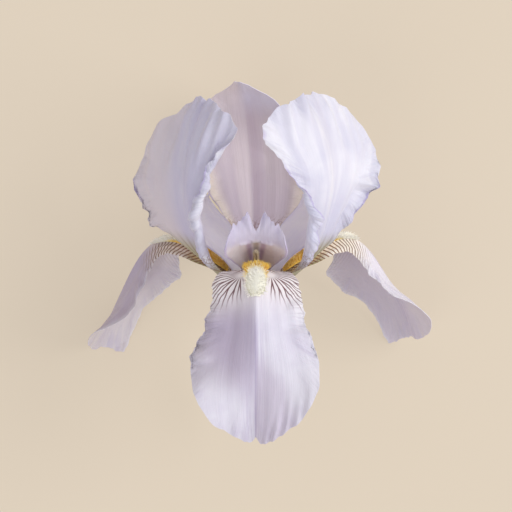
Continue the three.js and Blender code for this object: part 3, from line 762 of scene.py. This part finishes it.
class Graph:
    """A material's nodes. Its colours are painted one over another on a base."""

    def __init__(self, name):
        self.material = bpy.data.materials.new(name)
        self.material.use_nodes = True
        self.tree = self.material.node_tree
        self.shader = self.tree.nodes["Principled BSDF"]
        self.base = None

    def feed(self, node, inputs):
        """Sets a node's inputs, each to a number, a colour or what another node puts out."""
        for key, value in inputs.items():
            if isinstance(value, bpy.types.NodeSocket):
                self.tree.links.new(value, node.inputs[key])
            else:
                node.inputs[key].default_value = colour(value) if isinstance(value, tuple) else value

    def node(self, kind, inputs, **settings):
        made = self.tree.nodes.new(kind)
        for key, value in settings.items():
            setattr(made, key, value)
        self.feed(made, inputs)
        return made.outputs

    def math(self, operation, a, b=0, clamp=False):
        return self.node("ShaderNodeMath", {0: a, 1: b}, operation=operation, use_clamp=clamp)[0]

    def plus(self, a, b):
        return self.math("ADD", a, b)

    def minus(self, a, b):
        return self.math("SUBTRACT", a, b)

    def times(self, product, *others):
        for other in others:
            product = self.math("MULTIPLY", product, other)
        return product

    def size(self, value):
        return self.math("ABSOLUTE", value)

    def fade(self, value, low, high):
        """0 as far as low and 1 from high on, smooth between them. Either may be the larger."""
        inputs = {"Value": value, "From Min": low, "From Max": high}
        return self.node("ShaderNodeMapRange", inputs, interpolation_type="SMOOTHSTEP")[0]

    def mix(self, share, a, b):
        return self.node("ShaderNodeMix", {0: share, 6: a, 7: b}, data_type="RGBA")[2]

    def paint(self, tone, *shares):
        """Lays a colour over the base, as strongly as the product of its shares."""
        self.base = self.mix(self.times(*shares), self.base, tone)

    def place(self, name):
        """The two coordinates of a UV map."""
        found = self.node("ShaderNodeUVMap", {}, uv_map=name)[0]
        return self.node("ShaderNodeSeparateXYZ", {0: found})[:2]

    def value(self, name):
        return self.node("ShaderNodeAttribute", {}, attribute_name=name)["Fac"]

    def vector(self, x, y, z=0):
        return self.node("ShaderNodeCombineXYZ", {0: x, 1: y, 2: z})[0]

    def noise(self, vector, scale=1, detail=3):
        inputs = {"Vector": vector, "Scale": scale, "Detail": detail, "Roughness": 0.55}
        return self.node("ShaderNodeTexNoise", inputs)["Fac"]

    def object_place(self):
        return self.node("ShaderNodeTexCoord", {})["Object"]

    def bump(self, height, strength, distance):
        inputs = {"Height": height, "Strength": strength, "Distance": distance}
        self.feed(self.shader, {"Normal": self.node("ShaderNodeBump", inputs)[0]})

    def finish(self, roughness, subsurface=0, sheen=0, specular=0.5):
        self.feed(self.shader, {
            "Base Color": self.base, "Roughness": roughness, "Specular IOR Level": specular,
            "Subsurface Weight": subsurface, "Subsurface Scale": 0.0025,
            "Sheen Weight": sheen, "Sheen Roughness": 0.5,
        })
        self.shader.inputs["Subsurface Radius"].default_value = SUBSURFACE_RADIUS
        return self.material


def colour(rgb):
    """A linear colour from one in display values from 0 to 255."""
    linear = [((v / 255 + 0.055) / 1.055) ** 2.4 if v > 10 else v / 255 / 12.92 for v in rgb]
    return (*linear, 1)


WHITE_LILAC = (240, 239, 249)
VIOLET = (176, 160, 216)
CREAM = (232, 218, 200)
GOLD = (214, 194, 142)
OLIVE = (150, 148, 92)
VEIN_MAROON = (96, 50, 58)
VEIN_BROWN = (118, 76, 48)
VEIN_PALE_END = (150, 130, 152)
FALL_STREAK = (196, 188, 215)
FALL_THREAD = (174, 162, 196)
FALL_CREASE_SHADE = (158, 146, 182)
# Painted shade on the front fall, where its halves turn from the light
FLANK_SHADE = (176, 166, 180)
UPPER_SHADE = (172, 160, 188)
LOWER_SHADE = (188, 176, 200)
BACK_FLANK = (248, 234, 218)
BACK_HIGHLIGHT = (240, 228, 234)
BACK_SHADE = (178, 162, 180)
BACK_TOP = ((222, 219, 246), (240, 229, 240))
STYLE_STRIPE = (150, 108, 158)
STYLE_KEEL = (158, 140, 112)
STYLE_FOOT_TONE = (214, 200, 140)
HAIR_YELLOW = (250, 226, 136)
HAIR_CREAM = ((230, 229, 188), (254, 252, 244))
FILAMENT = ((226, 220, 214), (206, 196, 208))
POLLEN = ((188, 174, 150), (208, 196, 170))
STALK_GREEN = ((96, 122, 52), (132, 152, 78))
TUBE_GREEN = (178, 176, 120)
TUBE_RIM = (226, 214, 150)
CUT_END = (196, 204, 150)
FLOOR_TONE = (225, 211, 191)
FLOOR_CLOUD = (214, 202, 184)
FLOOR_GLOW = 0.6
BLACK = (0, 0, 0)
VEIN_EDGE = (1.9, 0.7)  # where a vein starts and is full, to its half width
PETAL_BUMP = (0.6, 0.0009)  # strength, and height in metres
PETAL_FINISH = {"subsurface": 0.25, "sheen": 0.1, "specular": 0.3}
SUBSURFACE_RADIUS = (1, 0.85, 0.9)


def stretched(g, across, along, shift=0, detail=2):
    """Noise with this many cells to a blade's half width and to its length."""
    return g.noise(g.vector(g.times(g.q, across), g.times(g.along, along), shift), detail=detail)


def blade_graph(name, pale, tint, outside):
    """Nodes for a thin petal: soft streaks, a crinkled paler margin with painted shade in its crinkles, and
    another colour on its outer face.
    """
    g = Graph(name)
    across, g.along = g.place("share")
    g.q = g.times(g.minus(across, 0.5), 2)
    g.side = g.size(g.q)
    g.inner = g.value("inner")
    g.flat_x, g.flat_y = g.place("flat")
    g.clouds = g.noise(g.object_place(), scale=60)
    g.threads = stretched(g, 70, 3.5, 7, detail=3)
    streaks = stretched(g, 9, 1.5, detail=4)
    x = g.minus(g.flat_x, 0.5)
    way = g.math("ARCTAN2", x, g.minus(g.flat_y, 0.5))
    reach = g.math("SQRT", g.plus(g.times(x, x), g.times(g.flat_y, g.flat_y)))
    crinkles = g.noise(g.vector(g.times(way, 10), g.times(reach, 6), 3))
    rim = g.math("MAXIMUM", g.fade(g.side, 0.55, 1), g.fade(g.along, 0.86, 1))
    g.base = g.mix(g.times(g.minus(1, g.inner), 0.85), pale, outside)
    g.paint(tint, g.fade(streaks, 0.35, 0.75), 0.2)
    g.paint(tint, g.fade(g.clouds, 0.4, 0.68), 0.42)
    g.paint(tint, g.fade(g.threads, 0.5, 0.75), 0.14)
    # Painted shade of the margin's crinkles, over their bump
    g.paint(tint, g.fade(crinkles, 0.5, 0.62), rim, 0.6)
    g.paint(WHITE_LILAC, g.fade(g.side, 0.88, 1), 0.35)
    relief = g.plus(g.times(streaks, 0.5), g.times(g.threads, 0.18))
    g.bump(g.plus(relief, g.times(crinkles, rim, 2.6)), *PETAL_BUMP)
    return g


def vein_lines(g, phase, spacing, half, reach=None, fork=None):
    """Thin lines where the phase is a whole number. Where they fork, each from a reach of its own on."""
    cell = g.math("FLOOR", g.plus(phase, 0.5))
    off = g.size(g.minus(phase, cell))
    if fork:
        chance = g.node("ShaderNodeTexWhiteNoise", {"W": cell}, noise_dimensions="1D")["Value"]
        start = g.plus(g.times(chance, fork["spread"]), fork["start"])
        parted = g.math("DIVIDE", g.minus(reach, start), fork["opening"], clamp=True)
        off = g.size(g.minus(off, g.times(parted, 0.25)))
    return g.fade(g.times(off, spacing), half * VEIN_EDGE[0], half * VEIN_EDGE[1])


def fan_veins(g, haft, x, y, wander):
    """Forked veins that fan out from beside the beard, and their ink, which pales outward."""
    x = g.minus(x, haft["gap"])
    height = g.minus(y, haft["centre"])
    reach = g.math("SQRT", g.plus(g.times(x, x), g.times(height, height)))
    turn = g.math("ARCTAN2", x, height)
    way = g.plus(g.plus(turn, g.times(reach, haft["bend"])), g.times(wander, 0.16))
    spacing = g.math("DIVIDE", reach, haft["veins"])
    veins = vein_lines(g, g.times(way, haft["veins"]), spacing, haft["half"], reach, haft["fork"])
    stretch = g.plus(0.45, g.times(g.fade(turn, 0.15, 1.1), 0.55))
    ending = g.fade(g.math("DIVIDE", reach, stretch), haft["end"], haft["end"] * 0.4)
    veins = g.times(veins, ending, g.fade(reach, 1, 4.5), g.fade(x, -0.6, 0.2))
    return veins, g.mix(g.times(g.fade(reach, 9, 24), 0.7), haft["ink"], VEIN_PALE_END)


def ladder_veins(g, haft, x, y, wander):
    """Veins side by side, each aslant from the midrib to the margin, and their ink."""
    slant = g.plus(g.minus(y, g.times(x, haft["slant"])), g.times(wander, 2))
    veins = vein_lines(g, g.times(slant, haft["veins"]), 1 / haft["veins"], haft["half"])
    ending = g.fade(y, haft["end"], haft["end"] - 14)
    return g.times(veins, ending, g.fade(g.side, 0.04, 0.3)), haft["ink"]


def front_shade(g):
    """Painted shade: duskier on the left flank, and at the left of the crease above and at its right below.
    """
    side = g.plus(g.side, g.times(g.minus(g.clouds, 0.5), 0.5))
    # Painted shade on the left flank, and beside the crease above and below
    flank = g.times(g.fade(g.side, 0.02, 0.3), g.fade(g.q, 0, -0.1), g.fade(g.along, 0.4, 0.52))
    g.paint(FLANK_SHADE, flank, g.fade(g.along, 0.86, 0.68), 0.6)
    inside = g.fade(g.minus(side, g.times(g.minus(0.84, g.along), 4.2)), 0.45, -0.35)
    g.paint(UPPER_SHADE, inside, g.fade(g.q, 0.02, -0.06), g.fade(g.along, 0.38, 0.56), 0.62)
    inside = g.fade(g.minus(side, g.times(g.minus(g.along, 0.62), 2.2)), 0.2, -0.2)
    g.paint(LOWER_SHADE, inside, g.fade(g.q, -0.01, 0.03), g.fade(g.along, 0.62, 0.74), 0.6)


def fall_material(name, haft, pale, outside):
    """A fall: veins on the pale ground of its haft, and a brown net and gold and olive rims at the foot."""
    g = blade_graph(name, pale, FALL_STREAK, outside)
    middle = g.times(g.fade(g.side, 0.28, 0.04), g.fade(g.along, 0.36, 0.5))
    g.paint(FALL_THREAD, g.fade(stretched(g, 60, 4, 11), 0.42, 0.62), middle, 0.4)
    # Painted shade in the midrib's crease
    g.paint(FALL_CREASE_SHADE, g.fade(g.side, 0.05, 0), g.fade(g.along, 0.45, 0.62), g.inner, 0.6)
    x = g.times(g.size(g.minus(g.flat_x, 0.5)), FLAT_SPAN)
    y = g.times(g.flat_y, FLAT_SPAN)
    flat = g.vector(g.flat_x, g.flat_y)
    wander = g.minus(g.noise(flat, scale=11, detail=2), 0.5)
    foot = g.fade(y, haft["foot"], haft["foot"] - 6)
    veins, ink = haft["drawn"](g, haft, x, y, wander)
    if haft["drawn"] is fan_veins:
        front_shade(g)
    g.paint(haft["ground"], g.fade(y, haft["ground_end"], haft["ground_end"] - 20), g.inner, haft["cover"])
    if haft["drawn"] is ladder_veins:
        g.paint(OLIVE, foot, 0.6)
    net = g.size(g.minus(g.noise(flat, scale=75, detail=2), 0.5))
    g.paint(VEIN_BROWN, g.fade(net, 0.06, 0.02), foot, 0.75)
    g.paint(GOLD, foot, g.fade(g.side, 0.5, 0.62), g.fade(g.side, 0.84, 0.74), 0.7)
    g.paint(OLIVE, foot, g.fade(g.side, 0.84, 0.96), 0.7)
    g.paint(ink, veins, g.plus(g.times(g.inner, 0.76), 0.2))
    return g.finish(0.55, **PETAL_FINISH)


def back_bands(g, strength):
    """Cream flanks, a painted highlight and a band of painted shade beside the midrib, and a bluer top."""
    g.paint(BACK_FLANK, g.fade(g.side, 0.55, 0.9), g.fade(g.along, 0.62, 0.5), 0.8)
    # Painted highlight at one side of the midrib, and painted shade at the other
    highlight = g.times(g.fade(g.q, 0.36, 0.24), g.fade(g.q, 0, 0.08))
    g.paint(BACK_HIGHLIGHT, highlight, g.fade(g.along, 0.8, 0.55), strength)
    g.paint(BACK_SHADE, g.fade(g.q, 0.03, -0.02), g.fade(g.q, -0.24, -0.08), strength)
    g.paint(g.mix(g.fade(g.q, -0.1, 0.15), *BACK_TOP), g.fade(g.along, 0.68, 0.86), 0.85)


def standard_material(name, pale, tint, outside, far=None, bands=0):
    """A standard: painted shade toward its foot and in soft folds, violet at its margin, and olive with brown
    lines on its claw.
    """
    g = blade_graph(name, pale, tint, outside)
    # Painted shade: darker toward the foot, less so on the inner face
    g.paint(tint, g.fade(g.along, 0.66, 0.4), g.minus(1, g.times(g.inner, 0.7)), 0.8)
    # Painted shade of soft folds, in broad streaks
    g.paint(tint, g.fade(stretched(g, 3.5, 1.4, 5), 0.44, 0.62), 0.45)
    if far:
        g.paint(far, g.fade(g.q, -0.05, -0.6), 0.8)
    if bands:
        back_bands(g, bands)
    g.paint(VIOLET, g.fade(g.side, 0.94, 0.985), g.fade(g.clouds, 0.4, 0.56), 0.6)
    outer = g.times(g.fade(g.along, 0.42, 0.29), g.minus(1, g.inner))
    claw = g.math("MAXIMUM", g.fade(g.along, 0.32, 0.22), outer)
    g.paint(OLIVE, claw, 0.8)
    lines = g.math("SINE", g.times(g.plus(g.q, g.times(g.threads, 0.12)), 26))
    g.paint(VEIN_BROWN, g.fade(lines, 0.2, 0.8), claw, 0.5)
    net = g.size(g.minus(stretched(g, 8, 34, 2), 0.5))
    g.paint(VEIN_BROWN, g.fade(net, 0.05, 0.015), g.fade(g.along, 0.37, 0.3), g.inner, 0.6)
    return g.finish(0.55, **PETAL_FINISH)


def style_material(name, pale, tint, outside, vault):
    """A style arm: lavender with a violet edge, dusky below, where two purple stripes flank an olive one."""
    g = blade_graph(name, pale, tint, outside)
    under = g.times(g.minus(1, g.inner), g.fade(g.along, 0.77, 0.71))
    g.paint(vault, under, 0.85)
    g.paint(STYLE_STRIPE, g.fade(g.side, 0.09, 0.2), g.fade(g.side, 0.38, 0.24), under, 0.55)
    g.paint(STYLE_KEEL, g.fade(g.side, 0.14, 0.04), under, 0.6)
    g.paint(VIOLET, g.fade(g.side, 0.9, 0.99), 0.55)
    g.paint(STYLE_FOOT_TONE, g.fade(g.along, 0.32, 0.1), 0.6)
    return g.finish(0.5, **PETAL_FINISH)


def beard_material(name, first, second):
    """Hairs of one colour as far as the haft's crest, and cream with greenish roots beyond it."""
    g = Graph(name)
    along = g.value("along")
    height = g.value("height")
    g.base = g.mix(g.fade(height, 0.1, 0.9), first, second)
    g.paint(HAIR_YELLOW, g.fade(along, 0.47, 0.52))
    g.paint(g.mix(g.fade(height, 0, 0.5), *HAIR_CREAM), g.fade(along, 0.52, 0.62))
    return g.finish(0.65, subsurface=0.1, specular=0.2)


def stamen_material():
    """A pale filament below a grainy olive-yellow anther."""
    g = Graph("stamen_pollen")
    grain = g.noise(g.object_place(), scale=1600)
    g.base = g.mix(g.fade(grain, 0.3, 0.7), *FILAMENT)
    g.paint(g.mix(g.fade(grain, 0.35, 0.65), *POLLEN), g.fade(g.place("share")[1], 0.46, 0.52))
    g.bump(grain, 0.5, 0.0003)
    return g.finish(0.75, subsurface=0.1, specular=0.2)


def stalk_material():
    """Streaked green, paler toward the tube's rim and on the cut end."""
    g = Graph("green_stalk")
    height = g.value("height")
    streaks = g.noise(g.object_place(), scale=260, detail=4)
    g.base = g.mix(g.fade(streaks, 0.3, 0.7), *STALK_GREEN)
    g.paint(TUBE_GREEN, g.fade(height, -16, -1))
    g.paint(TUBE_RIM, g.fade(height, -0.6, 0.3))
    g.paint(CUT_END, g.fade(height, -49.6, -50))
    g.bump(streaks, 0.25, 0.0004)
    return g.finish(0.4, subsurface=0.1, sheen=0.1)


def floor_material():
    """Plain pale paper with some light of its own, so that shadows stay as faint as in soft light."""
    g = Graph("table")
    g.base = g.mix(g.times(g.noise(g.object_place(), scale=40), 0.2), FLOOR_TONE, FLOOR_CLOUD)
    g.paint(BLACK, FLOOR_GLOW)
    g.feed(g.shader, {"Emission Color": FLOOR_TONE, "Emission Strength": FLOOR_GLOW})
    return g.finish(0.9, specular=0.1)


# The flower


def place_piece(piece, material, node):
    piece.data.materials.append(material)
    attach(piece, "root")
    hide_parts(node)


front_haft = {
    # places in millimetres on the flattened fall, and veins to a radian
    "drawn": fan_veins, "gap": 4.5, "centre": 31.5, "veins": 3.8, "bend": 0.012, "half": 0.18, "end": 34,
    "fork": {"start": 3, "spread": 5, "opening": 5}, "ink": VEIN_MAROON,
    "ground": (253, 246, 248), "cover": 0.9, "ground_end": 54, "foot": 21,
}
left_haft = {
    # veins to a millimetre
    "drawn": ladder_veins, "slant": 0.6, "veins": 0.58, "half": 0.22, "end": 54, "ink": VEIN_BROWN,
    "ground": CREAM, "cover": 0.72, "ground_end": 53, "foot": 27,
}
# The right haft's ground is lighter and fuller than the left's: painted light, as the left side lies in shade
right_haft = {**left_haft, "ground": (252, 242, 226), "cover": 0.95, "ground_end": 56}

front_petal = fall_material("fall_front_petal", front_haft, pale=(226, 224, 239), outside=(204, 194, 207))
# The left fall is a copy with a darker upper face, painted shade as it turns from the light, and a lighter
# under face
left_fall = fall_material("fall_left_petal", left_haft, pale=(178, 166, 184), outside=(228, 221, 227))
right_fall = fall_material("fall_right_petal", right_haft, pale=(232, 228, 244), outside=(204, 194, 207))
# The left standard is a darker copy of the right one: painted shade, as it faces away from the light
left_petal = standard_material(
    "standard_left_petal", pale=(241, 240, 249), tint=(190, 186, 216), outside=(196, 194, 218),
    far=(214, 203, 209))
right_petal = standard_material(
    "standard_right_petal", pale=(240, 239, 254), tint=(197, 196, 222), outside=(232, 231, 243))
back_petal = standard_material(
    "standard_back_petal", pale=(209, 198, 206), tint=(196, 184, 200), outside=(222, 220, 240), bands=0.5)
# Lit and shaded copies of one arm: painted shade on the front arm, which faces the light, and painted light
# on the side arms, in the standards' shade
front_arm = style_material(
    "style_front_petal", pale=(222, 216, 242), tint=(188, 180, 218), outside=(199, 192, 210),
    vault=(230, 220, 224))
side_arm = style_material(
    "style_side_petal", pale=(244, 240, 255), tint=(222, 216, 252), outside=(220, 213, 244),
    vault=(222, 217, 250))
front_hairs = beard_material("beard_front_hairs", (226, 164, 38), (247, 208, 86))
# The side hairs are golden, painted lighter than their own colour: painted light against the shade that they
# lie in
side_hairs = beard_material("beard_side_hairs", (252, 204, 84), (255, 228, 136))
pollen = stamen_material()

falls = {"front": (fall_front, front_petal, front_hairs), "left": (fall_left, left_fall, side_hairs),
         "right": (fall_right, right_fall, side_hairs)}
for number, (where, (spec, material, hairs)) in enumerate(falls.items()):
    petal = blade_piece(f"petal_fall_{where}", spec, TEPAL_GRID, relief=folds(FALL_FOLD, FALL_SEED + number))
    place_piece(petal, material, f"fall_{where}")
    beard = beard_piece(f"hairs_{where}", spec, BEARD_HALF[where], BEARD_SEED + number)
    place_piece(beard, hairs, f"beard_{where}")

standards = {"left": (standard_left, left_petal), "right": (standard_right, right_petal),
             "back": (standard_back, back_petal)}
for number, (where, (spec, material)) in enumerate(standards.items()):
    relief = folds(STANDARD_FOLD[where], STANDARD_SEED + number)
    petal = blade_piece(f"petal_standard_{where}", spec, TEPAL_GRID, relief=relief)
    place_piece(petal, material, f"standard_{where}")

style_arms = {
    "front": (style_arm(0, roof=-8, cw_cup=-30, ccw_cup=-30), front_arm),
    "left": (style_arm(-120, roof=0, cw_cup=-5, ccw_cup=-25), side_arm),
    "right": (style_arm(120, roof=0, cw_cup=-25, ccw_cup=-5), side_arm),
}
for where, (spec, material) in style_arms.items():
    arm = blade_piece(f"arm_{where}", spec, STYLE_GRID, thickness=style_thickness)
    place_piece(arm, material, f"style_arm_{where}")
    anther = blade_piece(f"anther_{where}", stamen(spec["azimuth"]), STAMEN_GRID, thickness=stamen_thickness)
    place_piece(anther, pollen, f"stamen_{where}")

place_piece(stalk_piece("ovary_and_stalk"), stalk_material(), "ovary_and_tube")

# Table, light and camera, in metres

TABLE_SIZE = 3
TABLE_DROP = 0.0002  # so that the flower and the table don't share a face
AIM = np.array([0, 0, 0.04])
SENSOR = 36  # millimetres
ROOM_TONE = (241, 239, 242)
ROOM_STRENGTH = 0.62

bpy.ops.mesh.primitive_plane_add(size=TABLE_SIZE, location=(0, 0, -TABLE_DROP))
floor = bpy.context.object
floor.name = "table"
floor.data.materials.append(floor_material())


def area_light(name, place, size, power, tint):
    """A round soft light that points at the flower."""
    light = bpy.data.lights.new(name, "AREA")
    light.shape = "DISK"
    light.size = size
    light.energy = power
    light.color = tint
    lamp = bpy.data.objects.new(name, light)
    lamp.location = place
    away = place - AIM
    lamp.rotation_euler = (math.atan2(math.hypot(away[0], away[1]), away[2]), 0,
                           math.atan2(away[1], away[0]) + math.pi / 2)
    bpy.context.scene.collection.objects.link(lamp)


area_light("key", place=(1.4, 0.2, 1.05), size=1.3, power=20, tint=(0.99, 0.985, 0.98))
area_light("fill", place=(-0.8, -0.9, 1.3), size=1.6, power=6.5, tint=(0.97, 0.97, 0.99))

world = bpy.data.worlds.new("soft_room")
world.use_nodes = True
world.node_tree.nodes["Background"].inputs[0].default_value = colour(ROOM_TONE)
world.node_tree.nodes["Background"].inputs[1].default_value = ROOM_STRENGTH
bpy.context.scene.world = world
bpy.context.scene.view_settings.view_transform = "Standard"

lens = bpy.data.cameras.new("view")
lens.sensor_width = SENSOR
lens.lens = SENSOR * CAMERA_HEIGHT / PICTURE_WIDTH
camera = bpy.data.objects.new("view", lens)
camera.location = ((THROAT + np.array([0, CAMERA_SHIFT, CAMERA_HEIGHT])) * MM).tolist()
bpy.context.scene.collection.objects.link(camera)
bpy.context.scene.camera = camera
